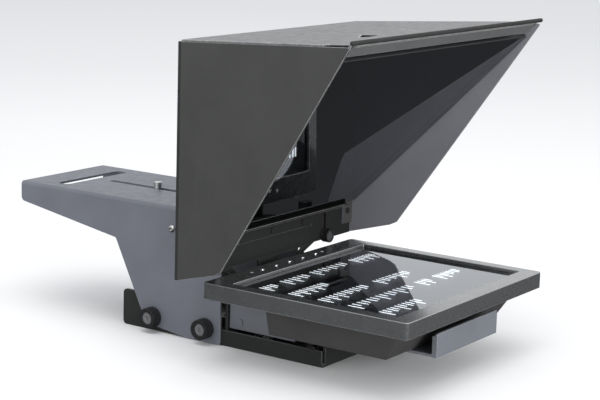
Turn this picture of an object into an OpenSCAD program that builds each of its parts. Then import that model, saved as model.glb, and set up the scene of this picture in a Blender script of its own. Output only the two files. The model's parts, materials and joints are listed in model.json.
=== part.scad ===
// Teleprompter for an eight-inch monitor: a base rail carries the monitor tray, an upright
// with a height-adjustable hood and beam-splitter glass, and a sliding camera bracket.
// Millimetres. +Z is up, -Y is the presenter's side, +Y is the camera's side.
// The origin is the mouth of the tripod bush on the rail's underside.

/* [Monitor] */
// Width of the monitor across its bezel
monitor_w = 190; // [188:0.5:192]
// Depth of the monitor from front edge to rear edge
monitor_d = 166.6; // [165:0.2:167]
// Height of the bezel's outer wall
bezel_h = 11.8; // [11:0.1:12]
// Width of the screen window
window_w = 170; // [164:0.5:171]
// Width of the bezel strip in front of the screen
front_strip = 13.3; // [12:0.1:14]
// Width of the bezel strip behind the screen, which holds the buttons
rear_strip = 18.2; // [18:0.1:19]

/* [Rail and tray] */
// Outside width of the base rail
rail_w = 94; // [92:0.5:94]
// Length of the base rail
rail_l = 183; // [180:0.5:184]
// Height of the rail's low front walls
rail_low = 12; // [11.5:0.1:12.5]
// Height of the rail's tall rear ears
rail_high = 27.6; // [26:0.1:28]
// Width of the monitor tray
tray_w = 84.8; // [82:0.2:86]
// Height of the tray's underside above the rail's underside
tray_z = 23; // [22.5:0.1:23]
// Top of the tray's front lip
lip_z = 40; // [36:0.5:42]
// Thickness of the rail, tray and bracket sheet
sheet = 2; // [1.9:0.05:2]

/* [Camera bracket] */
// Height of the camera platform
platform_z = 97.5; // [96:0.5:100]
// Rear end of the camera platform
platform_y = 192.5; // [188:0.5:196]
// How far the bracket slides back along the rail
bracket_travel = 8; // [6:1:8]
// Length of the camera screw's slot along the platform
camera_slot_l = 96; // [80:1:100]
// Width of the camera screw's slot
camera_slot_w = 6.8; // [6.6:0.1:7]

/* [Hood] */
// Half width of the hood at its rear panel
hood_rear_x = 109; // [108:0.1:110]
// Half width of the hood at its front edge
hood_front_x = 129.5; // [129:0.1:130]
// Height of the hood's top at the rear panel
hood_rear_z = 228.8; // [228:0.1:230]
// Height of the hood's top at the front edge
hood_front_z = 238.4; // [238:0.1:240]
// Height of the hood's lower edge at the rear panel
hood_low_z = 61.5; // [61:0.1:62]
// Thickness of the hood's sheet
hood_sheet = 1.5; // [1.4:0.05:1.5]
// How far the hood drops from its highest position
hood_travel = 15; // [8:1:15]
// Height of the lens axis
lens_z = 147; // [144:1:150]
// Radius of the lens opening
lens_r = 48; // [44:0.5:48]

/* [Glass] */
// Angle of the glass from horizontal
glass_angle = 46; // [45:0.5:46]
// Length of the glass up its slope
glass_l = 193; // [190:0.5:193]
// Half width of the glass at its lower edge
glass_low_x = 106.5; // [104:0.5:106.5]
// Half width of the glass at its upper edge
glass_high_x = 125; // [122:0.5:125]
// Thickness of the glass
glass_t = 3; // [2:0.5:3]

/* [Hidden] */

$fn = 64;
fit = 0.05;              // clearance of a fixed or running shaft in its hole
gap = 0.3;               // clearance between parts that move past each other

// Monitor
monitor_top = 59.5;
front_y = -190;
monitor_rear_y = front_y + monitor_d;
bezel_z = monitor_top - bezel_h;
bezel_wall = 2;
bezel_skin = 2.5;
bezel_corner = 3;
window_front_y = front_y + front_strip;
window_rear_y = monitor_rear_y - rear_strip;
glass_z = monitor_top - bezel_skin - 1;
lcd_z = glass_z - 2.4;
backlight_z = bezel_z + 2.4;
boss_x = monitor_w / 2 - 5;
boss_y = [front_y + 6, monitor_rear_y - 5];
button_y = monitor_rear_y - 8.4;
button_x = [for (i = [0:4]) -36 + 17 * i];
light_x = [-48.5, 41.5];
button_r = 1.7;
board_z = bezel_z + 2.6;

// Rear housing of the monitor: sloped on all four sides
housing_z = 26;
housing_low = [77, -163.8, -68.2];    // half width, front and rear at the bottom
housing_high = [82, -177.5, -67.6];   // the same at the bezel
housing_wall = 2;

// Rail and tray
rail_x = rail_w / 2;
rail_front = -94;
rail_rear = rail_front + rail_l;
rail_in = rail_x - sheet;
tray_x = tray_w / 2;
tray_front = -182.6;
tray_rear = -9;
cheek_y = [-66, -8.5];
cheek_z = [13, 46];
spacer_at = [[-34, -76], [34, -76], [-34, -36], [34, -36]];
stud_r = 2;

// Upright
post_x = rail_in - gap;
post_y = -8.2;
post_upper_y = -11.7;
post_joggle_z = 46.5;
thumb_x = 71;
thumb_z = 65;
thumb_r = 2;
thumb_head_r = 5.3;

// Camera bracket and clamp knobs
bracket_in = rail_x + gap;
bracket_x = bracket_in + sheet;
bracket_front = -4.8;
flange_z = 0.1;
clamp_y = [8.2, 57.6];
clamp_z = 11.3;
clamp_r = 2.5;
knob_r = 7.6;
knob_l = 8.2;
knob_x = bracket_x + gap;
transverse_y = 161.5;
transverse_l = 74;
transverse_w = 11;
camera_slot_y = 95;
camera_screw_y = 95;
camera_neck_r = 2.55;
brace_y = 28;
brace_screw = [41, 81];

// Hood: the side panels flare outwards to the front, and the top rises to the front
hood_rear_y = -12;
hood_front_y = -160.2;
hood_run = hood_rear_y - hood_front_y;
flare = atan((hood_front_x - hood_rear_x) / hood_run);
pitch = atan((hood_front_z - hood_rear_z) / hood_run);
side_l = hood_run / cos(flare);
top_l = hood_run / cos(pitch);
top_t = hood_sheet / cos(pitch);
rear_panel_front = hood_rear_y - hood_sheet;
foot_y = -53;
foot_z = 74.1;
heel_y = -47.9;
heel_z = 71.5;
corner_x = 121;
corner_l = 21;
lip_x = 126;
lip_low = [-153, 229.4];
glass_foot = [-18, 88];
rivet_z = [80, 118, 176, 216];
rivet_x = 101.5;
ledge_z = 86.2;
ledge_x = 94;
seal_y = rear_panel_front - 3;
seal_out_r = 54;
seal_in_r = 30;
seal_screw_r = 51;
trim_y = -9.5;

// ---------- helpers ----------

// Plate whose outline is given in Y and Z, from x0 to x1
module side_plate(outline, x0, x1) {
    translate([x0, 0, 0]) rotate([90, 0, 90]) linear_extrude(x1 - x0) polygon(outline);
}

// Plate whose outline is given in X and Z, from y0 to y1
module cross_plate(outline, y0, y1) {
    translate([0, y1, 0]) rotate([90, 0, 0]) linear_extrude(y1 - y0) polygon(outline);
}

// Box from one corner to the other
module block(a, b) {
    translate(a) cube(b - a);
}

// Round bar along X, Y or Z from the point p
module bar_x(p, l, r) { translate(p) rotate([0, 90, 0]) cylinder(h = l, r = r); }
module bar_y(p, l, r) { translate(p) rotate([-90, 0, 0]) cylinder(h = l, r = r); }
module bar_z(p, l, r) { translate(p) cylinder(h = l, r = r); }

// Outline of a slot with round ends, along its first axis
module slot_outline(l, r) {
    translate([r - l / 2, -r]) square([l - 2 * r, 2 * r]);
    for (s = [-1, 1]) translate([s * (l / 2 - r), 0]) circle(r);
}

// Outline of a rectangle with round corners
module round_rect(a, b, r) {
    translate([a[0] + r, a[1]]) square([b[0] - a[0] - 2 * r, b[1] - a[1]]);
    translate([a[0], a[1] + r]) square([b[0] - a[0], b[1] - a[1] - 2 * r]);
    for (x = [a[0] + r, b[0] - r], y = [a[1] + r, b[1] - r]) translate([x, y]) circle(r);
}

// Points of an arc about c, for rounding a corner of an outline
function arc(c, r, a0, a1, n = 8) =
    [for (i = [0:n]) c + r * [cos(a0 + (a1 - a0) * i / n), sin(a0 + (a1 - a0) * i / n)]];

// Screw with a domed head below its origin, hexagon socket and plain shank up +Z
module pan_screw(shank_r, shank_l, head_r, head_h) {
    difference() {
        translate([0, 0, -head_h]) rotate_extrude() intersection() {
            square([head_r, head_h]);
            translate([0, head_h * 1.9]) circle(head_h * 1.9 + head_r * 0.12);
        }
        translate([0, 0, -head_h - 1]) cylinder(h = 1 + head_h * 0.6, r = head_r * 0.45, $fn = 6);
    }
    cylinder(h = shank_l, r = shank_r);
}

// Places its children at x and mirrored at -x
module both_sides() {
    children();
    mirror([1, 0, 0]) children();
}

// ---------- base ----------

// Bent tray: floor, low front walls, tall ears with the clamp slots, and a front end plate
// that stands free of the walls, with bend reliefs at its corners
module base_rail() {
    relief = 1;
    relief_z = 3;
    corner_r = 3.3;
    wall = concat(
        [[rail_front, 0], [rail_front, relief_z], [rail_front + relief, relief_z]],
        [[rail_front + relief, rail_low], [1, rail_low], [11, rail_high]],
        arc([rail_rear - corner_r, rail_high - corner_r], corner_r, 90, 0),
        arc([rail_rear - corner_r, corner_r], corner_r, 0, -90)
    );
    color([0.22, 0.23, 0.24]) difference() {
        union() {
            block([-rail_x, rail_front, 0], [rail_x, rail_rear - corner_r, sheet]);
            both_sides() side_plate(wall, rail_in, rail_x);
            block([1 - rail_in, rail_front, 0], [rail_in - 1, rail_front + sheet, rail_low + 2.3]);
        }
        bar_z([0, 0, -1], 4, 7 + fit);
        bar_z([0, 26, -1], 4, 5 + fit);
        for (p = spacer_at) {
            bar_z([p[0], p[1], -1], 4, stud_r + fit);
            bar_z([p[0], p[1], -1], 2, 4 + fit);
        }
        for (x = [-20, 20]) bar_z([x, -18, -1], 4, 1.5 + fit);
        translate([0, 56, -1]) linear_extrude(4) slot_outline(24, 3.3);
        for (y = clamp_y) translate([-rail_x - 1, y + bracket_travel / 2, clamp_z])
            rotate([90, 0, 90]) linear_extrude(rail_w + 2)
                slot_outline(bracket_travel + 2 * clamp_r + 2 * gap, clamp_r + gap);
    }
}

// Flanged bush pressed into the rail floor; its thread's crests form the bore
module tripod_bush(y, floor_r, flange_r, bore_r) {
    color([0.45, 0.45, 0.46]) translate([0, y, 0]) difference() {
        union() {
            cylinder(h = sheet, r = floor_r);
            translate([0, 0, sheet]) cylinder(h = 6, r = flange_r);
        }
        translate([0, 0, -1]) cylinder(h = 10, r = bore_r);
    }
}

module tripod_bush_large() { tripod_bush(0, 7, 9.5, 3.97); }
module tripod_bush_small() { tripod_bush(26, 5, 7.5, 2.6); }

// Sheet under the monitor, with a front lip whose ends turn back, and narrow rear flanges for the cheeks
module monitor_tray() {
    lip_r = 2;
    lip_return = 4;
    narrow = tray_x - 2 * sheet;
    color([0.44, 0.46, 0.5]) difference() {
        union() {
            block([-tray_x, tray_front, tray_z], [tray_x, cheek_y[0] - 1, tray_z + sheet]);
            block([-narrow - sheet, cheek_y[0] - 2, tray_z], [narrow + sheet, tray_rear, tray_z + sheet]);
            both_sides() block([narrow, cheek_y[0] + 4, 14.5], [narrow + sheet, tray_rear - 3, tray_z + 1]);
            both_sides() block([tray_x - sheet, tray_front, tray_z], [tray_x, tray_front + lip_return, lip_z - lip_r]);
            translate([0, tray_front + sheet, 0]) rotate([90, 0, 0]) linear_extrude(sheet) union() {
                round_rect([-tray_x, tray_z], [tray_x, lip_z], lip_r);
                translate([-tray_x, tray_z]) square([tray_w, lip_r]);
            }
        }
        for (p = spacer_at) bar_z([p[0], p[1], tray_z - 1], 4, stud_r + fit);
        for (y = [-55, -18]) bar_x([-tray_x, y, 18.5], tray_w, 1.5 + fit);
        for (y = [-150, -105]) translate([0, y, tray_z - 1]) linear_extrude(4) slot_outline(44, 4);
    }
}

// Upright cheek on each side of the tray's rear end, up to the monitor's underside
module tray_cheek() {
    outline = concat(
        [[cheek_y[0], cheek_z[0]]], [[cheek_y[1], cheek_z[0]]],
        arc([cheek_y[1] - 3, cheek_z[1] - 3], 3, 0, 90),
        [[cheek_y[0], cheek_z[1]]]
    );
    color([0.5, 0.52, 0.56]) difference() {
        side_plate(outline, tray_x - sheet, tray_x);
        for (y = [-55, -18]) bar_x([tray_x - 4, y, 18.5], 8, 1.5 + fit);
    }
}

module tray_cheek_left() { mirror([1, 0, 0]) tray_cheek(); }
module tray_cheek_right() { tray_cheek(); }

// Four blind rivets that hold the cheeks to the tray's flanges
module cheek_rivets() {
    color([0.6, 0.61, 0.63]) both_sides() for (y = [-55, -18]) {
        bar_x([tray_x - 2 * sheet - 0.6, y, 18.5], 2 * sheet + 0.6, 1.5);
        bar_x([tray_x, y, 18.5], 0.9, 2.6);
    }
}

// Stand-off sleeves below and above each lock nut
module tray_spacers() {
    color([0.12, 0.12, 0.12]) for (p = spacer_at) translate([p[0], p[1], 0]) difference() {
        union() {
            translate([0, 0, sheet]) cylinder(h = 5, r = 4);
            translate([0, 0, 10.2]) cylinder(h = tray_z - 10.2, r = 4);
        }
        cylinder(h = 40, r = stud_r + fit);
    }
}

// Hexagon lock nuts between the sleeves
module tray_nuts() {
    color([0.75, 0.76, 0.78]) for (p = spacer_at) translate([p[0], p[1], sheet + 5]) difference() {
        cylinder(h = 3.2, r = 4.4, $fn = 6);
        translate([0, 0, -1]) cylinder(h = 6, r = stud_r + fit);
    }
}

// Low-head screws, sunk in the rail floor, that reach up to the tray
module tray_screws() {
    color([0.75, 0.76, 0.78]) for (p = spacer_at) translate([p[0], p[1], 0]) {
        difference() {
            translate([0, 0, 0.1]) cylinder(h = 0.9, r = 4);
            translate([0, 0, -1]) cylinder(h = 1.7, r = 1.3, $fn = 6);
        }
        translate([0, 0, 1]) cylinder(h = tray_z + sheet - 1, r = stud_r);
    }
}

// Rubber strips between the tray and the monitor's housing
module tray_pads() {
    color([0.08, 0.08, 0.08]) for (y = [-158, -88])
        block([-36, y - 5, tray_z + sheet], [36, y + 5, housing_z]);
}

// ---------- monitor ----------

// Solid of the housing's sloped outline, moved in by an inset on every side but the top
module housing_form(inset, top) {
    side = [
        [housing_low[1] + inset, housing_z + inset], [housing_low[2] - inset, housing_z + inset],
        [housing_high[2] - inset, top], [housing_high[1] + inset, top]
    ];
    front = [
        [-housing_low[0] + inset, housing_z + inset], [housing_low[0] - inset, housing_z + inset],
        [housing_high[0] - inset, top], [-housing_high[0] + inset, top]
    ];
    intersection() {
        side_plate(side, -100, 100);
        cross_plate(front, -200, 0);
    }
}

// Moulded back of the monitor, with its flange, vent slots and socket openings
module rear_housing() {
    flange = bezel_wall + 0.1;
    color([0.2, 0.2, 0.2]) difference() {
        union() {
            housing_form(0, bezel_z);
            block([-monitor_w / 2 + flange, front_y + flange, bezel_z],
                [monitor_w / 2 - flange, monitor_rear_y - flange, bezel_z + 2]);
        }
        housing_form(housing_wall, bezel_z);
        block([-housing_high[0] + 4, housing_high[1] + 4, bezel_z - 1],
            [housing_high[0] - 4, housing_high[2] - 4, bezel_z + 3]);
        for (x = [-boss_x, boss_x], y = boss_y) bar_z([x, y, bezel_z - 1], 4, 1.2 + fit);
        for (i = [-4:4]) translate([i * 7, -120, housing_z - 1]) rotate([0, 0, 90])
            linear_extrude(4) slot_outline(26, 1.2);
        block([17, -74, 34.8], [33, -60, 41.2]);
        block([-35.2, -74, 33.8], [-24.8, -60, 43.2]);
    }
}

// Frame around the screen, with screw bosses and the holes of the buttons and lights
module bezel() {
    half = monitor_w / 2;
    color([0.3, 0.31, 0.32]) difference() {
        union() {
            difference() {
                translate([0, 0, bezel_z]) linear_extrude(bezel_h)
                    round_rect([-half, front_y], [half, monitor_rear_y], bezel_corner);
                block([-half + bezel_wall, front_y + bezel_wall, bezel_z - 1],
                    [half - bezel_wall, monitor_rear_y - bezel_wall, monitor_top - bezel_skin]);
            }
            for (x = [-boss_x, boss_x], y = boss_y)
                bar_z([x, y, bezel_z + 2], monitor_top - bezel_skin - bezel_z - 2, 2.8);
        }
        block([-window_w / 2, window_front_y, bezel_z], [window_w / 2, window_rear_y, monitor_top + 1]);
        for (x = button_x) bar_z([x, button_y, monitor_top - 3], 4, button_r + 0.15);
        for (x = light_x) bar_z([x, button_y, monitor_top - 3], 4, 1.1 + fit);
        for (x = [-boss_x, boss_x], y = boss_y) bar_z([x, y, bezel_z], 7, 1.2 + fit);
    }
}

// Cover glass, clamped under the bezel
module screen_glass() {
    color([0.1, 0.1, 0.11, 0.6])
        block([-window_w / 2 - 2, window_front_y - 3, glass_z], [window_w / 2 + 2, window_rear_y + 2, glass_z + 1]);
}

module lcd_panel() {
    color([0.15, 0.16, 0.2])
        block([-window_w / 2 - 2, window_front_y - 3, lcd_z], [window_w / 2 + 2, window_rear_y + 2, glass_z]);
}

// Light guide and reflector in a thin tray
module backlight_unit() {
    color([0.85, 0.85, 0.82])
        block([-window_w / 2 - 2.5, window_front_y - 3.4, backlight_z], [window_w / 2 + 2.5, window_rear_y + 2, lcd_z]);
}

// Main circuit board in the housing, with its larger parts
module driver_board() {
    color([0.1, 0.3, 0.16]) {
        block([-60, -150, 33], [60, -74, 34.6]);
        block([-14, -120, 34.6], [10, -98, 36.4]);
        block([24, -132, 34.6], [38, -120, 36]);
        for (x = [-48, -40, -32]) bar_z([x, -138, 34.6], 7, 3);
        for (x = [-54, 54], y = [-144, -80]) bar_z([x, y, housing_z + housing_wall], 33 - housing_z - housing_wall, 2.5);
    }
}

// Strip of circuit board under the buttons, with one low switch for each
module button_board() {
    color([0.1, 0.3, 0.16]) {
        block([-56, button_y - 3.4, board_z], [50, button_y + 3.4, board_z + 1.4]);
        for (x = button_x) block([x - 1.8, button_y - 1.8, board_z + 1.4], [x + 1.8, button_y + 1.8, board_z + 3]);
    }
}

// Four screws that close the monitor from below
module housing_screws() {
    color([0.3, 0.3, 0.31]) for (x = [-boss_x, boss_x], y = boss_y)
        translate([x, y, bezel_z]) pan_screw(1.2, 6.5, 2.6, 1.4);
}

// Video receptacle on the board's rear edge
module video_socket() {
    color([0.7, 0.7, 0.72]) difference() {
        block([17.5, -85, 35], [32.5, housing_low[2], 41]);
        block([18.2, -81, 35.6], [31.8, -60, 40.4]);
    }
}

// Low-voltage power receptacle on the board's rear edge
module power_socket() {
    color([0.1, 0.1, 0.1]) difference() {
        block([-34.5, -83, 34.6], [-25.5, housing_low[2], 43]);
        bar_y([-30, -80, 38.8], 20, 2.9);
    }
}

// Status light and infrared window beside the button row
module status_lights() {
    color([0.8, 0.85, 0.9]) for (x = light_x) {
        bar_z([x, button_y, board_z + 1.4], monitor_top + 0.05 - board_z - 1.4, 1.1);
    }
}

// Push button: cap, collar that stops under the bezel, and a stem above its switch
module button(i) {
    under = monitor_top - bezel_skin;
    color([0.82, 0.83, 0.85]) translate([button_x[i], button_y, 0]) {
        bar_z([0, 0, under - 1.2], bezel_skin + 1.2 + 0.6, button_r);
        bar_z([0, 0, under - 1.25], 1.1, 2.4);
        bar_z([0, 0, board_z + 3.7], under - 1.2 - board_z - 3.7, 0.9);
    }
}

module button_1() { button(0); }
module button_2() { button(1); }
module button_3() { button(2); }
module button_4() { button(3); }
module button_5() { button(4); }

// ---------- upright ----------

// Sheet upright: foot on the rail floor, notch round the tripod bush, window for the cables,
// joggled web and wings for the hood
module hood_post() {
    wing = [
        [post_x, post_joggle_z], [47.5, 55.5], [61, 60.7], [84, 60.7], [84, 85], [62, 85], [54, 92]
    ];
    web = concat(wing, [for (i = [len(wing) - 1:-1:0]) [-wing[i][0], wing[i][1]]]);
    window = [[12, 50], [33, 50], [45, 59.4], [12, 59.4]];
    cable_window = [[-36, 33.5], [36, 43.5]];
    color([0.2, 0.2, 0.21]) difference() {
        union() {
            block([-post_x, post_y, sheet], [post_x, post_y + sheet, post_joggle_z + sheet]);
            block([-post_x, post_upper_y, post_joggle_z], [post_x, post_y + sheet, post_joggle_z + sheet]);
            cross_plate(web, post_upper_y, post_upper_y + sheet);
            block([-27, -30, sheet], [27, post_y + sheet, 2 * sheet]);
        }
        both_sides() cross_plate(window, -20, 0);
        rotate([90, 0, 0]) linear_extrude(20) round_rect(cable_window[0], cable_window[1], 2);
        bar_z([0, 0, 1], 8, 10);
        for (x = [-20, 20]) bar_z([x, -18, 0], 8, 1.5 + fit);
        for (x = [-thumb_x, thumb_x]) bar_y([x, -20, thumb_z], 20, thumb_r + gap);
    }
}

// Two screws through the foot into the rail floor
module post_screws() {
    color([0.75, 0.76, 0.78]) for (x = [-20, 20])
        translate([x, -18, 2 * sheet]) rotate([180, 0, 0]) pan_screw(1.5, 3.8, 3, 1.8);
}

// Round nuts behind the wings
module thumb_nuts() {
    nut_y = post_upper_y + sheet;
    color([0.75, 0.76, 0.78]) for (x = [-thumb_x, thumb_x]) difference() {
        bar_y([x, nut_y, thumb_z], 4, 4.5);
        bar_y([x, nut_y - 1, thumb_z], 8, thumb_r + fit);
    }
}

// Thumb screw: knurled round head with a dished face, and its threaded shank
module thumb_screw() {
    head_y = rear_panel_front - gap;
    head_l = 6;
    color([0.08, 0.08, 0.08]) difference() {
        union() {
            bar_y([thumb_x, head_y - head_l, thumb_z], head_l, thumb_head_r);
            bar_y([thumb_x, head_y - 1, thumb_z], 10.4, thumb_r);
        }
        bar_y([thumb_x, head_y - head_l - 1, thumb_z], 1.8, thumb_head_r - 1.4);
        for (i = [0:17]) translate([thumb_x, head_y - head_l - 1, thumb_z]) rotate([0, i * 20, 0])
            bar_y([thumb_head_r + 0.35, 0, 0], head_l, 0.7);
    }
}

module thumb_screw_left() { mirror([1, 0, 0]) thumb_screw(); }
module thumb_screw_right() { thumb_screw(); }

// ---------- camera bracket ----------

// U channel, open below, cut to the flange's outline
module camera_bracket() {
    bend = 2.6;
    rear = platform_y;
    outline = concat(
        arc([bracket_front + 3, flange_z + 3], 3, 270, 180),
        [[bracket_front, platform_z + 1], [rear, platform_z + 1]],
        [[rear, 86]], arc([rear - 4, 85.5], 4, 0, -70), [[95.4, 66.3]],
        arc([62.5, 9], 4, -10, -82, 6), [[24, flange_z]]
    );
    color([0.5, 0.52, 0.57]) difference() {
        intersection() {
            difference() {
                channel_form(bracket_x, platform_z, bend);
                channel_form(bracket_in, platform_z - sheet, bend - sheet + 0.4);
            }
            side_plate(outline, -bracket_x - 1, bracket_x + 1);
        }
        translate([0, camera_slot_y, platform_z - 5]) rotate([0, 0, 90])
            linear_extrude(10) slot_outline(camera_slot_l, camera_slot_w / 2);
        translate([0, transverse_y, platform_z - 5])
            linear_extrude(10) slot_outline(transverse_l, transverse_w / 2);
        for (y = clamp_y) bar_x([-bracket_x - 1, y, clamp_z], 2 * bracket_x + 2, clamp_r + fit);
        bar_x([-bracket_x - 1, brace_screw[0], brace_screw[1]], 2 * bracket_x + 2, 1.5 + fit);
    }
}

// Solid bar along Y with rounded upper corners, the outside or inside of the channel
module channel_form(half, top, r) {
    translate([0, 200, 0]) rotate([90, 0, 0]) linear_extrude(210) {
        translate([-half, -5]) square([2 * half, top + 5 - r]);
        translate([r - half, 0]) square([2 * half - 2 * r, top]);
        for (x = [r - half, half - r]) translate([x, top - r]) circle(r);
    }
}

// Cross plate between the flanges, with ears screwed to them
module bracket_brace() {
    low = 64;
    high = platform_z - 6;
    color([0.42, 0.44, 0.48]) difference() {
        union() {
            block([-bracket_in, brace_y, low], [bracket_in, brace_y + sheet, high]);
            both_sides() block([bracket_in - sheet, brace_y, low + 6], [bracket_in, brace_y + 24, high]);
        }
        bar_x([-bracket_x, brace_screw[0], brace_screw[1]], 2 * bracket_x, 1.5 + fit);
        translate([0, brace_y + 5, (low + high) / 2]) rotate([90, 0, 0])
            linear_extrude(10) slot_outline(50, 6);
    }
}

// Bright screws through the flanges into the brace's ears
module brace_screws() {
    color([0.85, 0.86, 0.88]) both_sides()
        translate([bracket_x, brace_screw[0], brace_screw[1]]) rotate([0, -90, 0])
            pan_screw(1.5, 5.5, 2.8, 1.7);
}

// Square nuts inside the rail's ears, one for each knob
module clamp_nuts() {
    outer = rail_in - gap;
    color([0.6, 0.61, 0.63]) both_sides() for (y = clamp_y) difference() {
        block([outer - 6, y - 5.5, clamp_z - 5.5], [outer, y + 5.5, clamp_z + 5.5]);
        bar_x([outer - 10, y, clamp_z], 20, clamp_r + fit);
    }
}

// Round clamp knob with a deep recess that shows the stud's head
module knob(y) {
    color([0.06, 0.06, 0.06]) difference() {
        bar_x([knob_x, y, clamp_z], knob_l, knob_r);
        bar_x([knob_x - 1, y, clamp_z], knob_l + 2, clamp_r + fit);
        bar_x([knob_x + knob_l - 2.7, y, clamp_z], 5, 4.7);
        for (i = [0:23]) translate([knob_x + 1.6, y, clamp_z]) rotate([i * 15, 0, 0])
            bar_x([0, knob_r + 0.45, 0], knob_l, 0.8);
    }
}

// Socket-head stud of a clamp knob
module stud(y) {
    inner = rail_in - gap - 7;
    head_x = knob_x + knob_l - 2.7;
    color([0.7, 0.71, 0.73]) difference() {
        union() {
            bar_x([inner, y, clamp_z], head_x - inner, clamp_r);
            bar_x([head_x, y, clamp_z], 1.5, 4.6);
        }
        translate([head_x + 0.5, y, clamp_z]) rotate([0, 90, 0]) cylinder(h = 3, r = 1.9, $fn = 6);
    }
}

module knob_front_left() { mirror([1, 0, 0]) knob(clamp_y[0]); }
module knob_front_right() { knob(clamp_y[0]); }
module knob_rear_left() { mirror([1, 0, 0]) knob(clamp_y[1]); }
module knob_rear_right() { knob(clamp_y[1]); }
module stud_front_left() { mirror([1, 0, 0]) stud(clamp_y[0]); }
module stud_front_right() { stud(clamp_y[0]); }
module stud_rear_left() { mirror([1, 0, 0]) stud(clamp_y[1]); }
module stud_rear_right() { stud(clamp_y[1]); }

// Tapped washer under the platform; the screw's thread has passed through it and keeps it captive
module camera_washer() {
    color([0.1, 0.1, 0.1]) translate([0, camera_screw_y, platform_z - sheet - gap - 1.6]) difference() {
        cylinder(h = 1.6, r = 10);
        translate([0, 0, -1]) cylinder(h = 4, r = camera_neck_r + fit);
    }
}

// Quarter-inch camera screw: knurled head, plain neck in the slot, thread above the platform
module camera_screw() {
    head_top = platform_z - sheet - gap - 1.6 - gap;
    color([0.7, 0.71, 0.73]) translate([0, camera_screw_y, 0]) difference() {
        union() {
            bar_z([0, 0, head_top - 9], 9, 9.5);
            bar_z([0, 0, head_top - 1], platform_z - head_top + 1, camera_neck_r);
            bar_z([0, 0, platform_z], 5, 3.175);
        }
        for (i = [0:23]) rotate([0, 0, i * 15]) bar_z([10, 0, head_top - 10], 8, 0.9);
        block([-12, -1, head_top - 10], [12, 1, head_top - 6.5]);
    }
}

// ---------- hood ----------

// Height of the top panel's underside at y
function under_top(y) = hood_rear_z - top_t + (hood_rear_y - y) * tan(pitch);

// Inner half width between the side panels at y
function inner_x(y) = hood_rear_x + (hood_rear_y - y) * tan(flare) - hood_sheet / cos(flare);

// Rear panel with the lens opening and the slots of the thumb screws
module hood_rear_panel() {
    half = inner_x(hood_rear_y) - 0.1;
    top = under_top(hood_rear_y) - 0.2;
    color([0.25, 0.25, 0.26]) difference() {
        block([-half, rear_panel_front, hood_low_z], [half, hood_rear_y, top]);
        bar_y([0, -20, lens_z], 20, lens_r);
        for (x = [-thumb_x, thumb_x])
            translate([x, 0, thumb_z + hood_travel / 2]) rotate([90, 90, 0])
                linear_extrude(20) slot_outline(hood_travel + 2 * thumb_r + 2 * gap, thumb_r + gap);
        for (x = [-rivet_x, rivet_x], z = rivet_z) bar_y([x, -20, z], 20, 1.6 + fit);
        for (x = [-40, 0, 40]) bar_y([x, -20, 80], 20, 1.6 + fit);
        for (i = [0:5]) rotate_about_lens(i * 60) bar_y([seal_screw_r, -20, 0], 20, 1.2 + fit);
    }
}

// Turns its children about the lens axis
module rotate_about_lens(a) {
    translate([0, 0, lens_z]) rotate([0, a, 0]) children();
}

// Side panel: flared plate with a top flange and a rear flange bent inwards
module side_panel() {
    along = 1 / cos(flare);
    outline = [
        [0, hood_low_z], [(hood_rear_y - heel_y) * along, heel_z], [(hood_rear_y - foot_y) * along, foot_z],
        [side_l, under_top(hood_front_y) - 1], [side_l - 1, under_top(hood_front_y)],
        [0, under_top(hood_rear_y)]
    ];
    flange_z = under_top(rear_panel_front) - 6;
    color([0.33, 0.33, 0.33]) difference() {
        union() {
            translate([hood_rear_x, hood_rear_y, 0]) rotate([0, 0, flare - 90]) {
                rotate([90, 0, 0]) linear_extrude(hood_sheet) polygon(outline);
                translate([0, 0, under_top(hood_rear_y) - 0.2]) rotate([0, -atan(tan(pitch) * cos(flare)), 0])
                    block([14, -11, -hood_sheet], [124, -0.5, 0]);
            }
            block([96, rear_panel_front - hood_sheet, 70], [inner_x(rear_panel_front) + 0.2, rear_panel_front, flange_z]);
        }
        for (z = rivet_z) bar_y([rivet_x, -20, z], 20, 1.6 + fit);
    }
}

module hood_left_panel() { mirror([1, 0, 0]) side_panel(); }
module hood_right_panel() { side_panel(); }

// Top panel: flared plate, open front corners, two small cut-outs and the turned-down front lip
module hood_top_panel() {
    plate = [
        [-hood_rear_x, 0], [hood_rear_x, 0], [hood_front_x, -top_l], [-hood_front_x, -top_l]
    ];
    lip_dir = (lip_low - [hood_front_y, hood_front_z]) / norm(lip_low - [hood_front_y, hood_front_z]);
    lip_in = hood_sheet * [-lip_dir[1], lip_dir[0]];
    lip = [
        [hood_front_y, hood_front_z], lip_low, lip_low + lip_in, [hood_front_y, hood_front_z] + lip_in * 1.2
    ];
    color([0.42, 0.43, 0.44]) {
        translate([0, hood_rear_y, hood_rear_z - top_t]) rotate([-pitch, 0, 0]) difference() {
            linear_extrude(hood_sheet) polygon(plate);
            both_sides() block([corner_x, -top_l - 1, -1], [hood_front_x + 1, corner_l - top_l, 3]);
            bar_z([24, -95, -1], 4, 3.8);
            translate([-50, -106, -1]) linear_extrude(4) polygon([[-10, -5], [-4, -9], [17, -6], [19, 11]]);
        }
        side_plate(lip, -lip_x, lip_x);
    }
}

// Bead along the front edge of the top panel
module hood_front_bead() {
    r = 1.5;
    half = hood_front_x - r;
    color([0.1, 0.1, 0.1]) translate([0, hood_front_y - r * 0.72, hood_front_z + r * 0.72]) {
        bar_x([-half, 0, 0], 2 * half, r);
        for (x = [-half, half]) translate([x, 0, 0]) sphere(r);
    }
}

// Places its children in the plane of the glass: X across, Y up the slope, Z towards the monitor
module glass_plane() {
    translate([0, glass_foot[0], glass_foot[1]]) rotate([180 - glass_angle, 0, 0]) children();
}

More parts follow.
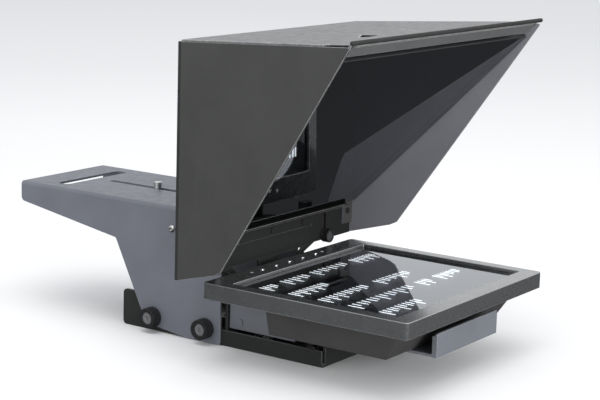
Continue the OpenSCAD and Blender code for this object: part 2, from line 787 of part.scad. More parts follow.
// Coated glass plate, wider at the top
module beam_splitter() {
    color([0.5, 0.55, 0.6, 0.4]) glass_plane() translate([0, 0, -glass_t]) linear_extrude(glass_t)
        polygon([[-glass_low_x, 0], [glass_low_x, 0], [glass_high_x, glass_l], [-glass_high_x, glass_l]]);
}

// Strip behind one side edge of the glass, along the side panel
module glass_rest() {
    strip = 1.5;
    length = glass_l - 6;
    lap = 3.5;
    spread = (glass_high_x - glass_low_x) / glass_l;
    outer_low = inner_x(glass_foot[0]) - 0.6;
    outer_high = inner_x(glass_foot[0] - length * cos(glass_angle)) - 0.6;
    color([0.28, 0.28, 0.29]) glass_plane() translate([0, 0, -glass_t - strip]) linear_extrude(strip) polygon([
        [glass_low_x - lap, 0.5], [outer_low, 0.5],
        [outer_high, length], [glass_low_x + length * spread - lap, length]
    ]);
}

module glass_rest_left() { mirror([1, 0, 0]) glass_rest(); }
module glass_rest_right() { glass_rest(); }

// Ledge under the lower edge of the glass, riveted to the rear panel
module glass_ledge() {
    color([0.28, 0.28, 0.29]) difference() {
        union() {
            block([-ledge_x, -21.5, ledge_z], [ledge_x, rear_panel_front, ledge_z + hood_sheet]);
            block([-52, rear_panel_front - hood_sheet, 76], [52, rear_panel_front, ledge_z + 1]);
        }
        for (x = [-40, 0, 40]) bar_y([x, -20, 80], 20, 1.6 + fit);
    }
}

// Soft ring that closes on the camera's lens
module lens_seal() {
    color([0.05, 0.05, 0.05]) difference() {
        bar_y([0, seal_y, lens_z], 3, seal_out_r);
        bar_y([0, seal_y - 1, lens_z], 5, seal_in_r);
        for (i = [0:5]) rotate_about_lens(i * 60) bar_y([seal_screw_r, -20, 0], 20, 1.2 + fit);
    }
}

// Metal ring that clamps the seal to the rear panel
module seal_ring() {
    color([0.3, 0.3, 0.31]) difference() {
        bar_y([0, seal_y - 1.2, lens_z], 1.2, seal_out_r);
        bar_y([0, seal_y - 3, lens_z], 5, lens_r);
        for (i = [0:5]) rotate_about_lens(i * 60) bar_y([seal_screw_r, -20, 0], 20, 1.2 + fit);
    }
}

module seal_screws() {
    color([0.75, 0.76, 0.78]) for (i = [0:5]) rotate_about_lens(i * 60)
        translate([seal_screw_r, seal_y - 1.2, 0]) rotate([-90, 0, 0]) pan_screw(1.2, 5.6, 2.3, 1.3);
}

// Blind rivets: two-headed in the side panels' rear flanges, flush behind the ledge
module hood_rivets() {
    shank = 2 * hood_sheet;
    color([0.45, 0.45, 0.46]) {
        for (x = [-rivet_x, rivet_x], z = rivet_z) {
            hood_rivet(x, z, shank);
            bar_y([x, hood_rear_y, z], 0.9, 3);
        }
        for (x = [-40, 0, 40]) hood_rivet(x, 80, shank);
    }
}

// Rivet shank with its front head
module hood_rivet(x, z, shank) {
    bar_y([x, hood_rear_y - shank, z], shank, 1.6);
    bar_y([x, hood_rear_y - shank - 0.7, z], 0.7, 2.4);
}

// Rubber strips behind the hood's two rear corners
module hood_rear_trim() {
    color([0.08, 0.08, 0.08]) both_sides()
        block([hood_rear_x - 4, hood_rear_y, hood_low_z], [hood_rear_x, trim_y, under_top(hood_rear_y)]);
}

base_rail();
tripod_bush_large();
tripod_bush_small();
monitor_tray();
tray_cheek_left();
tray_cheek_right();
cheek_rivets();
tray_spacers();
tray_nuts();
tray_screws();
tray_pads();
rear_housing();
bezel();
screen_glass();
lcd_panel();
backlight_unit();
driver_board();
button_board();
housing_screws();
video_socket();
power_socket();
status_lights();
button_1();
button_2();
button_3();
button_4();
button_5();
hood_post();
post_screws();
thumb_nuts();
thumb_screw_left();
thumb_screw_right();
camera_bracket();
bracket_brace();
brace_screws();
clamp_nuts();
knob_front_left();
knob_front_right();
knob_rear_left();
knob_rear_right();
stud_front_left();
stud_front_right();
stud_rear_left();
stud_rear_right();
camera_washer();
camera_screw();
hood_rear_panel();
hood_left_panel();
hood_right_panel();
hood_top_panel();
hood_front_bead();
beam_splitter();
glass_rest_left();
glass_rest_right();
glass_ledge();
lens_seal();
seal_ring();
seal_screws();
hood_rivets();
hood_rear_trim();
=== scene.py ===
"""Looks of the teleprompter: rounded edges, glass, the words on the screen, every material, the stage."""

import json
import math
import random

import bmesh
import bpy
from mathutils import Matrix, Vector

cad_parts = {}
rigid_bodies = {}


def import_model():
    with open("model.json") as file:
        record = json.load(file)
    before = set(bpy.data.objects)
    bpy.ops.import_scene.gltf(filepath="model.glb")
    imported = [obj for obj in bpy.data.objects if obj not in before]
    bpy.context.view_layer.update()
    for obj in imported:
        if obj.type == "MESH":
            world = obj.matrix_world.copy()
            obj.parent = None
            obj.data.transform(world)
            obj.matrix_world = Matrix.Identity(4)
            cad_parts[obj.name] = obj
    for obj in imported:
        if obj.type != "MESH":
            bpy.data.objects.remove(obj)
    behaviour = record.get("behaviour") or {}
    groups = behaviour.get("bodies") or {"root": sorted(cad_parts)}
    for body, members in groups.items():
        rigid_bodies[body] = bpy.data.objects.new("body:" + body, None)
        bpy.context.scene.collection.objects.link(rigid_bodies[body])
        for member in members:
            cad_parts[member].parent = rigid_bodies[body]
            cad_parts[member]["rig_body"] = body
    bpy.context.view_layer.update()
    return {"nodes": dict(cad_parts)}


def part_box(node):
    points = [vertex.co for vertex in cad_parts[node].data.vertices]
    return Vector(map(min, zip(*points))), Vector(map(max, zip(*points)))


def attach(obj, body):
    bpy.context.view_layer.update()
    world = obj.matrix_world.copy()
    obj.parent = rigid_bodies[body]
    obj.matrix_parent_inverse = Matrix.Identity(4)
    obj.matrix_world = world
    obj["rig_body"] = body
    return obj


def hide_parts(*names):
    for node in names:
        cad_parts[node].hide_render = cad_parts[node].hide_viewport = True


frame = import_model()
NODES = frame["nodes"]
MM = 0.001
# A face looks along a direction when the cosine between them is above this
FACING = 0.9


# ---------- materials ----------


class Finish:
    """A material made of nodes, with short calls for the patterns that the finishes share."""

    def __init__(self, name, color, roughness, metallic=0.0):
        self.mat = bpy.data.materials.new(name)
        self.mat.use_nodes = True
        self.tree = self.mat.node_tree
        self.shader = self.tree.nodes["Principled BSDF"]
        self.color = color
        self.set("Base Color", (*color, 1.0))
        self.set("Roughness", roughness)
        self.set("Metallic", metallic)
        self.place = self.tree.nodes.new("ShaderNodeTexCoord").outputs["Object"]

    def set(self, socket, value):
        """A constant on the shader's own socket."""
        self.shader.inputs[socket].default_value = value
        return self

    def link(self, out, node, socket):
        self.tree.links.new(out, node.inputs[socket])

    def noise(self, size_mm, detail):
        """Soft noise whose blobs are about size_mm across, with detail finer octaves."""
        node = self.tree.nodes.new("ShaderNodeTexNoise")
        node.inputs["Scale"].default_value = 1.0 / (size_mm * MM)
        node.inputs["Detail"].default_value = detail
        self.link(self.place, node, "Vector")
        return node.outputs["Fac"]

    def cells(self, size_mm):
        """Cell pattern, for grain and speckle."""
        node = self.tree.nodes.new("ShaderNodeTexVoronoi")
        node.inputs["Scale"].default_value = 1.0 / (size_mm * MM)
        self.link(self.place, node, "Vector")
        return node.outputs["Distance"]

    def ranged(self, value, low, high, start=0.3, stop=0.7):
        """Value remapped so that start to stop becomes low to high."""
        node = self.tree.nodes.new("ShaderNodeMapRange")
        for socket, number in zip(("From Min", "From Max", "To Min", "To Max"), (start, stop, low, high)):
            node.inputs[socket].default_value = number
        self.link(value, node, "Value")
        return node.outputs["Result"]

    def blend_colors(self, factor, dark, light):
        node = self.tree.nodes.new("ShaderNodeMix")
        node.data_type = "RGBA"
        node.inputs["A"].default_value = (*dark, 1.0)
        node.inputs["B"].default_value = (*light, 1.0)
        self.tree.links.new(factor, node.inputs["Factor"])
        return node.outputs["Result"]

    def vary_color(self, value, spread):
        """Base colour that wavers by spread, as a share of itself, with the pattern value."""
        dark = tuple(c * (1 - spread) for c in self.color)
        light = tuple(min(1.0, c * (1 + spread)) for c in self.color)
        self.link(self.blend_colors(self.ranged(value, 0.0, 1.0), dark, light), self.shader, "Base Color")
        return self

    def vary_roughness(self, value, low, high):
        self.link(self.ranged(value, low, high), self.shader, "Roughness")
        return self

    def relief(self, *layers):
        """Bumps laid over each other: each layer is a pattern and its height in mm."""
        normal = None
        for value, height_mm in layers:
            node = self.tree.nodes.new("ShaderNodeBump")
            node.inputs["Distance"].default_value = height_mm * MM
            self.link(value, node, "Height")
            if normal is not None:
                self.link(normal, node, "Normal")
            normal = node.outputs["Normal"]
        self.link(normal, self.shader, "Normal")
        return self


def powder_coat(name, color, roughness=0.42, shine=0.5):
    """Baked paint on sheet metal: fine orange peel, with slight drifts of tone and gloss."""
    paint = Finish(name, color, roughness)
    paint.vary_color(paint.noise(35.0, 3.0), 0.07)
    paint.vary_roughness(paint.noise(6.0, 4.0), roughness - 0.05, roughness + 0.07)
    paint.relief((paint.noise(0.9, 1.0), 0.035), (paint.noise(0.28, 2.0), 0.012))
    paint.set("Specular IOR Level", shine)
    return paint


def painted_edge_highlight(name, color):
    """A lighter, partly metallic copy of the paint for bevelled edges: a painted highlight along the edges
    where they catch the light.
    """
    paint = Finish(name, color, 0.33, 0.35)
    paint.vary_color(paint.noise(4.0, 5.0), 0.3)
    paint.relief((paint.noise(0.5, 2.0), 0.01))
    return paint


def moulded(name, color, roughness, grain_mm):
    """Moulded plastic with a spark-eroded grain."""
    plastic = Finish(name, color, roughness)
    plastic.vary_color(plastic.noise(18.0, 2.0), 0.06)
    plastic.vary_roughness(plastic.noise(1.2, 3.0), roughness - 0.04, roughness + 0.06)
    plastic.relief((plastic.cells(grain_mm), 0.02), (plastic.noise(0.2, 2.0), 0.008))
    return plastic


def plated(name, color, roughness):
    """Plated or machined metal, with fine turning marks and stains."""
    metal = Finish(name, color, roughness, 1.0)
    metal.vary_color(metal.noise(3.0, 4.0), 0.12)
    metal.vary_roughness(metal.noise(0.8, 3.0), roughness - 0.06, roughness + 0.12)
    metal.relief((metal.noise(0.12, 2.0), 0.004))
    return metal


def satin(name, color, roughness, metallic, speckle=0.18):
    """Blasted or painted metal that is partly matt, with a fine speckle."""
    metal = Finish(name, color, roughness, metallic)
    metal.vary_color(metal.noise(0.35, 2.0), speckle)
    metal.vary_roughness(metal.noise(9.0, 3.0), roughness - 0.04, roughness + 0.06)
    metal.relief((metal.noise(0.3, 2.0), 0.006))
    return metal


def make_materials():
    found = {
        "rail_paint": powder_coat("rail_powder_coat", (0.02, 0.021, 0.02), 0.46, 0.35),
        "tray_paint": powder_coat("tray_powder_coat", (0.14, 0.148, 0.168)),
        "bracket_paint": powder_coat("bracket_powder_coat", (0.138, 0.146, 0.172)),
        "hood_paint": powder_coat("hood_powder_coat", (0.044, 0.044, 0.043), 0.46),
        # Lighter, bluer paint for the inner faces of the hood's side panels: painted light, for the light
        # that falls into the hood from the front
        "hood_inner_painted_light": powder_coat("hood_inside_painted_light", (0.18, 0.181, 0.2), 0.5),
        # Much darker paint for the hood's rear panel and the parts on it: painted shade, for the shadow at
        # the back of the hood
        "hood_back_painted_shade": powder_coat("back_painted_shade_coat", (0.014, 0.0145, 0.014), 0.5, 0.2),
        # Lighter paint for the hood's top panel and its front lip: painted light, for the light from above
        # that it catches
        "hood_top_paint": powder_coat("top_painted_light_coat", (0.095, 0.096, 0.098), 0.36),
        # Lighter finishes for the bevelled edges of the paints: painted highlights along the edges
        "rail_edge": painted_edge_highlight("rail_edge_painted_highlight", (0.09, 0.092, 0.095)),
        "tray_edge": painted_edge_highlight("tray_edge_painted_highlight", (0.3, 0.31, 0.34)),
        "hood_edge": painted_edge_highlight("hood_edge_painted_highlight", (0.3, 0.3, 0.3)),
        "steel": plated("zinc_plate", (0.62, 0.62, 0.6), 0.3),
        "satin_steel": satin("satin_stud_end", (0.2, 0.2, 0.21), 0.42, 0.35),
        "dark_steel": satin("blackened_dish", (0.07, 0.07, 0.074), 0.42, 0.35),
        "socket_metal": plated("tin_plate", (0.66, 0.66, 0.66), 0.25),
        "black_plastic": moulded("black_nylon", (0.012, 0.012, 0.013), 0.38, 0.6),
        "housing_plastic": moulded("housing_grain", (0.045, 0.044, 0.043), 0.5, 0.7),
        "button_silver": plated("chromed_cap", (0.85, 0.86, 0.88), 0.16),
    }

    found["bezel_plastic"] = satin("satin_bezel", (0.12, 0.125, 0.127), 0.26, 0.55, 0.07)
    # A lighter copy of the bezel finish for its bevelled edges: a painted highlight along the rim and corners
    found["bezel_edge_highlight"] = satin("bezel_edge_highlight", (0.3, 0.305, 0.31), 0.3, 0.5, 0.04)
    for slot in ("bezel_plastic", "bezel_edge_highlight"):
        found[slot].set("Coat Weight", 1.0).set("Coat Roughness", 0.14)

    rubber = Finish("black_rubber", (0.016, 0.016, 0.016), 0.75)
    rubber.vary_color(rubber.noise(5.0, 3.0), 0.2)
    rubber.relief((rubber.noise(0.5, 3.0), 0.03))
    found["rubber"] = rubber

    foam = Finish("open_cell_foam", (0.014, 0.014, 0.015), 0.95)
    foam.vary_color(foam.cells(0.9), 0.5)
    foam.relief((foam.cells(0.9), 0.35), (foam.noise(3.0, 2.0), 0.3))
    foam.set("Sheen Weight", 0.25).set("Sheen Roughness", 0.6)
    found["foam"] = foam

    lcd = Finish("lcd_surface", (0.004, 0.0042, 0.005), 0.3)
    lcd.vary_color(lcd.noise(40.0, 2.0), 0.25)
    lcd.relief((lcd.noise(0.15, 2.0), 0.002))
    lcd.set("Specular IOR Level", 0.08)
    found["lcd"] = lcd

    words = Finish("lit_words", (0.9, 0.92, 0.95), 0.4)
    glow = words.blend_colors(words.noise(25.0, 1.0), (0.9, 0.95, 1.0), (1.0, 1.0, 1.0))
    words.link(glow, words.shader, "Emission Color")
    words.set("Emission Strength", 1.6)
    found["lit_words"] = words

    diffuser = Finish("light_guide", (0.75, 0.75, 0.72), 0.6)
    diffuser.vary_color(diffuser.noise(12.0, 2.0), 0.05)
    diffuser.relief((diffuser.cells(1.5), 0.02))
    found["diffuser"] = diffuser

    board = Finish("solder_mask", (0.012, 0.07, 0.028), 0.32)
    board.vary_color(board.noise(2.5, 4.0), 0.35)
    board.relief((board.noise(1.4, 3.0), 0.03))
    board.set("Coat Weight", 0.4).set("Coat Roughness", 0.15)
    found["circuit_board"] = board

    found["screen_glass"] = clear_glass("cover_glass", (0.93, 0.95, 0.97), 0.05, 0.56)
    found["coated_glass"] = clear_glass("part_mirror_glass", (0.22, 0.23, 0.25), 0.24)
    found["bare_glass"] = bare_glass("uncoated_face")
    found["glass_edge"] = ground_edge("ground_glass_edge")
    return found


# Fresnel factor of glass that is looked at head-on
HEAD_ON = 0.04


def clear_glass(name, tint, mirror, glancing=1.0):
    """Thin glass: see-through with a tint. It mirrors at least the mirror share, and everything
    where the Fresnel factor reaches glancing."""
    glass = Finish(name, tint, 0.02)
    nodes, links = glass.tree.nodes, glass.tree.links
    clear = nodes.new("ShaderNodeBsdfTransparent")
    clear.inputs["Color"].default_value = (*tint, 1.0)
    shine = nodes.new("ShaderNodeBsdfGlossy")
    shine.inputs["Roughness"].default_value = 0.015
    shine.inputs["Color"].default_value = (0.95, 0.97, 1.0, 1.0)
    smear = glass.noise(60.0, 2.0)
    bump = nodes.new("ShaderNodeBump")
    bump.inputs["Distance"].default_value = 0.01 * MM
    links.new(smear, bump.inputs["Height"])
    links.new(bump.outputs["Normal"], shine.inputs["Normal"])
    fresnel = nodes.new("ShaderNodeFresnel")
    fresnel.inputs["IOR"].default_value = 1.5
    share = glass.ranged(fresnel.outputs["Fac"], mirror, 1.0, HEAD_ON, glancing)
    mix = nodes.new("ShaderNodeMixShader")
    links.new(share, mix.inputs["Fac"])
    links.new(clear.outputs["BSDF"], mix.inputs[1])
    links.new(shine.outputs["BSDF"], mix.inputs[2])
    output = nodes["Material Output"]
    links.new(mix.outputs["Shader"], output.inputs["Surface"])
    nodes.remove(glass.shader)
    return glass


def bare_glass(name):
    """The far face of a plate whose near face already mirrors: it only lets light through."""
    glass = Finish(name, (1, 1, 1), 0.02)
    clear = glass.tree.nodes.new("ShaderNodeBsdfTransparent")
    clear.inputs["Color"].default_value = (0.97, 0.985, 0.98, 1.0)
    glass.tree.links.new(clear.outputs["BSDF"], glass.tree.nodes["Material Output"].inputs["Surface"])
    glass.tree.nodes.remove(glass.shader)
    return glass


def ground_edge(name):
    """The ground edge of a glass plate, blackened so that it does not show on camera."""
    edge = Finish(name, (0.018, 0.022, 0.021), 0.4)
    edge.vary_color(edge.noise(1.5, 3.0), 0.15)
    edge.relief((edge.noise(0.2, 2.0), 0.02))
    return edge


MATERIALS = make_materials()
# Finish on each paint's bevelled edges: the lighter ones are painted highlights, and the glass gets its
# blackened ground edge
EDGE_OF = {
    "rail_paint": "rail_edge",
    "tray_paint": "tray_edge",
    "bracket_paint": "tray_edge",
    "hood_paint": "hood_edge",
    "hood_top_paint": "hood_edge",
    "coated_glass": "glass_edge",
    "bezel_plastic": "bezel_edge_highlight",
}


# ---------- mesh helpers ----------

# Edges are bevelled above the first angle, and shaded sharp above the second
BEVEL_ANGLE = math.radians(32)
SHARP_ANGLE = math.radians(40)
# Triangles whose planes differ by less than this are one flat face of the part
FLAT_ANGLE = math.radians(0.5)
FACE_SHAPE_ANGLE = math.radians(60)
SAME_POINT = 0.002 * MM


def smooth(obj):
    """Smooth shading, except across sharp edges."""
    obj.data.shade_smooth()
    obj.data.set_sharp_from_angle(angle=SHARP_ANGLE)
    return obj


def add_piece(name, mesh, body, slot, *replaced):
    """Links a mesh as a piece of the object on its body, and hides the CAD nodes that it replaces. The slot
    argument is not used.
    """
    obj = bpy.data.objects.new(name, mesh)
    bpy.context.scene.collection.objects.link(obj)
    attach(obj, body)
    if replaced:
        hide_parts(*replaced)
    return obj


def finished(node, slot, edge_mm, segments=2, edge=None):
    """Stands for a CAD node: its own shape with rounded edges, which catch the light. The edges
    take the edge finish, or else the one that EDGE_OF gives."""
    source = NODES[node]
    mesh = source.data.copy()
    mesh.name = node + "_finished"
    mesh.materials.clear()
    mesh.materials.append(MATERIALS[slot].mat)
    mesh.materials.append(MATERIALS[edge or EDGE_OF.get(slot, slot)].mat)
    form = bmesh.new()
    form.from_mesh(mesh)
    bmesh.ops.remove_doubles(form, verts=form.verts, dist=SAME_POINT)
    bmesh.ops.join_triangles(
        form, faces=form.faces, angle_face_threshold=FLAT_ANGLE,
        angle_shape_threshold=FACE_SHAPE_ANGLE,
    )
    for face in form.faces:
        face.material_index = 0
    form.to_mesh(mesh)
    form.free()
    if mesh.has_custom_normals:
        mesh.attributes.remove(mesh.attributes["custom_normal"])
    obj = add_piece(node + "_finished", mesh, source["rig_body"], slot, node)
    bevel = obj.modifiers.new("edges", "BEVEL")
    bevel.width = edge_mm * MM
    bevel.segments = segments
    bevel.limit_method = "ANGLE"
    bevel.angle_limit = BEVEL_ANGLE
    bevel.use_clamp_overlap = False
    bevel.loop_slide = False
    bevel.material = 1
    bevel.miter_outer = "MITER_ARC"
    smooth(obj)
    weighted = obj.modifiers.new("normals", "WEIGHTED_NORMAL")
    weighted.keep_sharp = True
    weighted.weight = 50
    return obj


def recoat(obj, finish, wanted=lambda face: True):
    """Gives the wanted faces of a piece another finish."""
    obj.data.materials.append(MATERIALS[finish].mat)
    for face in obj.data.polygons:
        if wanted(face):
            face.material_index = len(obj.data.materials) - 1
    return obj


def bevel_only(obj, wanted):
    """Keeps the bevel to those sharp edges whose middle point is wanted."""
    form = bmesh.new()
    form.from_mesh(obj.data)
    weight = form.edges.layers.float.new("bevel_weight_edge")
    for edge in form.edges:
        sharp = len(edge.link_faces) == 2 and edge.calc_face_angle() > BEVEL_ANGLE
        edge[weight] = float(sharp and wanted((edge.verts[0].co + edge.verts[1].co) / 2))
    form.to_mesh(obj.data)
    form.free()
    obj.modifiers["edges"].limit_method = "WEIGHT"


def repaint(node, slot):
    """A CAD node whose shape is right as it is gets its procedural material."""
    obj = NODES[node]
    obj.data.materials.clear()
    obj.data.materials.append(MATERIALS[slot].mat)


# ---------- frame parts ----------

# How far the edges of sheets, of the monitor's case and of small parts are rounded, in mm
SHEET_EDGE = 0.25
CASE_EDGE = 0.45
SMALL_EDGE = 0.12

SHEET_PARTS = {
    "base_rail": "rail_paint", "monitor_tray": "tray_paint", "tray_cheek_left": "tray_paint",
    "tray_cheek_right": "tray_paint", "hood_post": "rail_paint", "camera_bracket": "bracket_paint",
    "bracket_brace": "bracket_paint",
}
for name, slot in SHEET_PARTS.items():
    finished(name, slot, SHEET_EDGE)
# The rear panel, the glass rests, the seal ring and the rivets take the dark rear paint all over: painted
# shade at the back of the hood
for name in ("hood_rear_panel", "glass_rest_left", "glass_rest_right", "seal_ring", "hood_rivets"):
    recoat(finished(name, "hood_paint", 0.15, edge="hood_back_painted_shade"), "hood_back_painted_shade")
# The glass ledge's faces take the dark rear paint as well: painted shade
recoat(finished("glass_ledge", "hood_paint", 0.2), "hood_back_painted_shade")

# Behind this line the side panels' edges stay square, because they lie against the rear panel
SQUARE_BEHIND_Y = -20 * MM
for name, inward in (("hood_left_panel", 1), ("hood_right_panel", -1)):
    panel = finished(name, "hood_paint", SHEET_EDGE)
    bevel_only(panel, lambda mid: mid.y < SQUARE_BEHIND_Y)
    # The inner faces take the lighter inner paint: painted light falling into the hood from the front
    recoat(panel, "hood_inner_painted_light", lambda face: face.normal.x * inward > FACING)
# The top panel and its lip take the lighter top paint: painted light from above
finished("hood_top_panel", "hood_top_paint", 0.9, 4)

CASE_PARTS = {"bezel": "bezel_plastic", "rear_housing": "housing_plastic"}
for name, slot in CASE_PARTS.items():
    finished(name, slot, CASE_EDGE, 3)

SMALL_PARTS = {
    "tripod_bush_large": "steel", "tripod_bush_small": "steel", "cheek_rivets": "tray_paint",
    "tray_spacers": "black_plastic", "tray_nuts": "steel", "tray_screws": "steel", "tray_pads": "rubber",
    "housing_screws": "steel", "video_socket": "socket_metal", "power_socket": "black_plastic",
    "post_screws": "steel", "thumb_nuts": "steel", "brace_screws": "steel", "clamp_nuts": "steel",
    "knob_front_left": "black_plastic", "knob_front_right": "black_plastic",
    "knob_rear_left": "black_plastic", "knob_rear_right": "black_plastic",
    "camera_washer": "black_plastic", "camera_screw": "steel",
    "hood_front_bead": "rubber", "seal_screws": "steel",
    "status_lights": "diffuser", "hood_rear_trim": "rubber",
}
for name, slot in SMALL_PARTS.items():
    finished(name, slot, SMALL_EDGE)

for end in ("front_left", "front_right", "rear_left", "rear_right"):
    recoat(finished("stud_" + end, "steel", SMALL_EDGE, edge="satin_steel"), "satin_steel")

# The bottom of the dish in a thumb screw lies this far behind the front of its head, give or take
DISH_DEPTH = 0.8 * MM
DISH_LEEWAY = 0.1 * MM
for side in ("left", "right"):
    node = "thumb_screw_" + side
    dish_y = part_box(node)[0].y + DISH_DEPTH
    recoat(
        finished(node, "black_plastic", SMALL_EDGE), "dark_steel",
        lambda face: face.normal.y < -FACING and abs(face.center.y - dish_y) < DISH_LEEWAY,
    )

BUTTONS = 5
for number in range(1, BUTTONS + 1):
    finished(f"button_{number}", "button_silver", 0.25, 3)

INNER_PARTS = {"lcd_panel": "lcd", "backlight_unit": "diffuser", "driver_board": "circuit_board",
               "button_board": "circuit_board"}
for name, slot in INNER_PARTS.items():
    repaint(name, slot)

finished("lens_seal", "foam", 0.9, 4)


# ---------- glass ----------


def coat_one_face(plate):
    """The plate's lower face carries the part-mirror, its upper face is bare, and the rest is ground edge."""
    low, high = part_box("beam_splitter")
    slope = high - low
    down = Vector((0, -slope.z, -slope.y)).normalized()
    plate.data.materials.clear()
    for slot in ("coated_glass", "glass_edge", "bare_glass"):
        plate.data.materials.append(MATERIALS[slot].mat)
    for face in plate.data.polygons:
        across = face.normal.dot(down)
        face.material_index = 0 if across > FACING else 2 if across < -FACING else 1


# The cover glass stays this far above its node's lower face, clear of the display and its words
COVER_CLEARANCE = 0.15 * MM


def glass_plates():
    """Cover glass over the screen, and the slanted part-mirror."""
    low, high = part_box("screen_glass")
    cover = bmesh.new()
    bmesh.ops.create_cube(cover, size=1.0)
    low = low + Vector((0, 0, COVER_CLEARANCE))
    bmesh.ops.scale(cover, vec=high - low, verts=cover.verts)
    bmesh.ops.translate(cover, vec=(high + low) / 2, verts=cover.verts)
    mesh = bpy.data.meshes.new("screen_cover")
    cover.to_mesh(mesh)
    cover.free()
    mesh.materials.append(MATERIALS["screen_glass"].mat)
    mesh.materials.append(MATERIALS["bare_glass"].mat)
    for face in mesh.polygons:
        face.material_index = 0 if face.normal.z > 0.5 else 1
    add_piece("screen_cover", mesh, "base", "screen_glass", "screen_glass")
    coat_one_face(finished("beam_splitter", "coated_glass", 0.4))


glass_plates()


# ---------- words on the screen ----------

# Sizes in mm. A word is a line of cells, and each cell has two bars: the first one tall or low, the
# second one lower still
ROW_PITCH = 24.6
FIRST_ROW_Y = -152.6
X_HEIGHT = 9.4
TALL = 13.2
SECOND_BAR = 0.8 * X_HEIGHT
SECOND_BAR_AT = 0.46
TALL_SHARE = 0.3
STROKE = 1.9
STROKE_ROUND = 0.6
WORDS_LIFT = 0.06
# Rows from the front to the back, and each row's words: where they start and end, and how many cells
WORD_ROWS = [
    [(-71, -22, 5)],
    [(-71, 9, 7), (16, 33, 2), (41, 73, 4)],
    [(-71, -13, 6), (-1, 43, 5)],
    [(-71, -27, 5)],
    [(-71, -54, 2), (-46, -14, 3), (-9, 36, 4), (43, 74, 4)],
]


# Straight pieces in each round corner of a bar
CORNER_STEPS = 4


def rounded_bar(form, x0, x1, y0, y1, z, radius):
    """Flat bar with round corners, as one face."""
    corners = [
        (x1 - radius, y1 - radius, 0), (x0 + radius, y1 - radius, 90),
        (x0 + radius, y0 + radius, 180), (x1 - radius, y0 + radius, 270),
    ]
    ring = []
    for cx, cy, start in corners:
        for step in range(CORNER_STEPS + 1):
            angle = math.radians(start + 90 * step / CORNER_STEPS)
            ring.append(form.verts.new((cx + radius * math.cos(angle), cy + radius * math.sin(angle), z)))
    form.faces.new(ring)


def screen_words():
    """Rows of plain bars where a script would run. Their tops face the front, for the mirror."""
    pick = random.Random(7)
    form = bmesh.new()
    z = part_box("lcd_panel")[1].z + WORDS_LIFT * MM
    for row, words in enumerate(WORD_ROWS):
        base = FIRST_ROW_Y + ROW_PITCH * row
        for x0, x1, count in words:
            step = (x1 - x0) / count
            for i in range(count):
                tall = i == 0 or pick.random() < TALL_SHARE
                bars = ((0.0, TALL if tall else X_HEIGHT), (SECOND_BAR_AT, SECOND_BAR))
                for along, height in bars:
                    left = x0 + (i + along) * step
                    rounded_bar(
                        form, left * MM, (left + STROKE) * MM,
                        (base - height) * MM, base * MM, z, STROKE_ROUND * MM,
                    )
    mesh = bpy.data.meshes.new("screen_words")
    form.to_mesh(mesh)
    form.free()
    mesh.materials.append(MATERIALS["lit_words"].mat)
    add_piece("screen_words", mesh, "base", "lcd")


screen_words()


# ---------- stage, light and camera ----------

FLOOR_REACH = 14.0
# Heights on the sky's scale, where 0 is straight down, 0.5 the horizon and 1 straight up
GROUND, HORIZON, ZENITH = 0.47, 0.5, 1.0
SKY_STRENGTH = 0.95


def pale_floor():
    """Floor that reflections do not see, so that only the dark half of the sky mirrors from below."""
    floor_mesh = bpy.data.meshes.new("floor")
    form = bmesh.new()
    bmesh.ops.create_grid(form, x_segments=1, y_segments=1, size=FLOOR_REACH)
    form.to_mesh(floor_mesh)
    form.free()
    floor = bpy.data.objects.new("floor", floor_mesh)
    bpy.context.scene.collection.objects.link(floor)
    paper = Finish("pale_floor", (0.93, 0.93, 0.93), 0.9)
    paper.vary_color(paper.noise(900.0, 1.0), 0.01)
    floor_mesh.materials.append(paper.mat)
    floor.visible_glossy = False


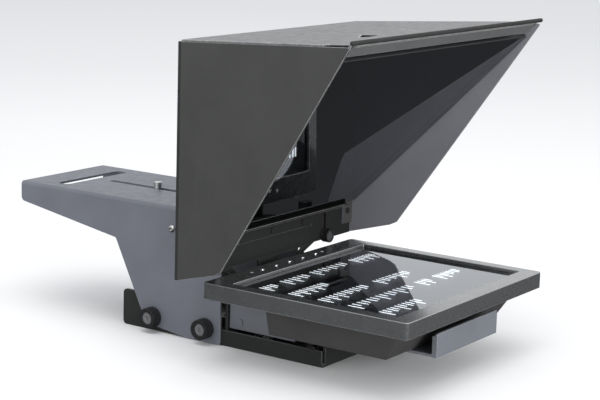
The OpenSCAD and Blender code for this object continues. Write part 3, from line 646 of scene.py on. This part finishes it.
def studio_sky():
    """Soft white sky, dark below the horizon."""
    world = bpy.data.worlds.new("studio")
    bpy.context.scene.world = world
    world.use_nodes = True
    tree = world.node_tree
    height = tree.nodes.new("ShaderNodeSeparateXYZ")
    tree.links.new(tree.nodes.new("ShaderNodeTexCoord").outputs["Generated"], height.inputs["Vector"])
    sky = tree.nodes.new("ShaderNodeValToRGB")
    stops = sky.color_ramp.elements
    stops[0].position, stops[0].color = GROUND, (0.05, 0.051, 0.055, 1.0)
    stops[1].position, stops[1].color = HORIZON, (0.98, 0.99, 1.0, 1.0)
    stops.new(ZENITH).color = (0.7, 0.72, 0.75, 1.0)
    scale = tree.nodes.new("ShaderNodeMapRange")
    scale.inputs["From Min"].default_value = -1.0
    tree.links.new(height.outputs["Z"], scale.inputs["Value"])
    tree.links.new(scale.outputs["Result"], sky.inputs["Fac"])
    tree.links.new(sky.outputs["Color"], tree.nodes["Background"].inputs["Color"])
    tree.nodes["Background"].inputs["Strength"].default_value = SKY_STRENGTH


def area_light(name, at, towards, size, power):
    """Soft box of size metres and power watts."""
    data = bpy.data.lights.new(name, "AREA")
    data.shape = "RECTANGLE"
    data.size, data.size_y = size
    data.energy = power
    light = bpy.data.objects.new(name, data)
    bpy.context.scene.collection.objects.link(light)
    at, towards = Vector(at), Vector(towards)
    turn = (towards - at).to_track_quat("-Z", "Y").to_matrix().to_4x4()
    light.matrix_world = Matrix.Translation(at) @ turn


CAMERA_AT = (-1.0110, -0.7275, 0.3462)
CAMERA_FORWARD = (0.8109, 0.5526, -0.1925)
CAMERA_ROLL = math.radians(1.73)
LENS_MM = 102.3
SENSOR_MM = 36.0


def camera():
    """View from the left of the presenter's side, a little above, with a slight roll."""
    forward = Vector(CAMERA_FORWARD).normalized()
    right = forward.cross(Vector((0, 0, 1))).normalized()
    up = right.cross(forward)
    right, up = (
        math.cos(CAMERA_ROLL) * right + math.sin(CAMERA_ROLL) * up,
        math.cos(CAMERA_ROLL) * up - math.sin(CAMERA_ROLL) * right,
    )
    data = bpy.data.cameras.new("camera")
    data.sensor_width = SENSOR_MM
    data.lens = LENS_MM
    data.clip_end = 60.0
    view = bpy.data.objects.new("camera", data)
    bpy.context.scene.collection.objects.link(view)
    axes = Matrix((right, up, -forward)).transposed().to_4x4()
    view.matrix_world = Matrix.Translation(CAMERA_AT) @ axes
    bpy.context.scene.camera = view


pale_floor()
studio_sky()
area_light("overhead", (-0.3, -0.2, 1.8), (0, -0.02, 0.1), (1.6, 1.6), 16.0)
area_light("left_fill", (-2.0, 0.2, 0.5), (0, 0, 0.12), (1.2, 1.0), 6.0)
area_light("front_fill", (-0.5, -2.2, 0.35), (0, 0, 0.12), (1.2, 1.0), 38.0)
camera()
bpy.context.scene.view_settings.view_transform = "Standard"
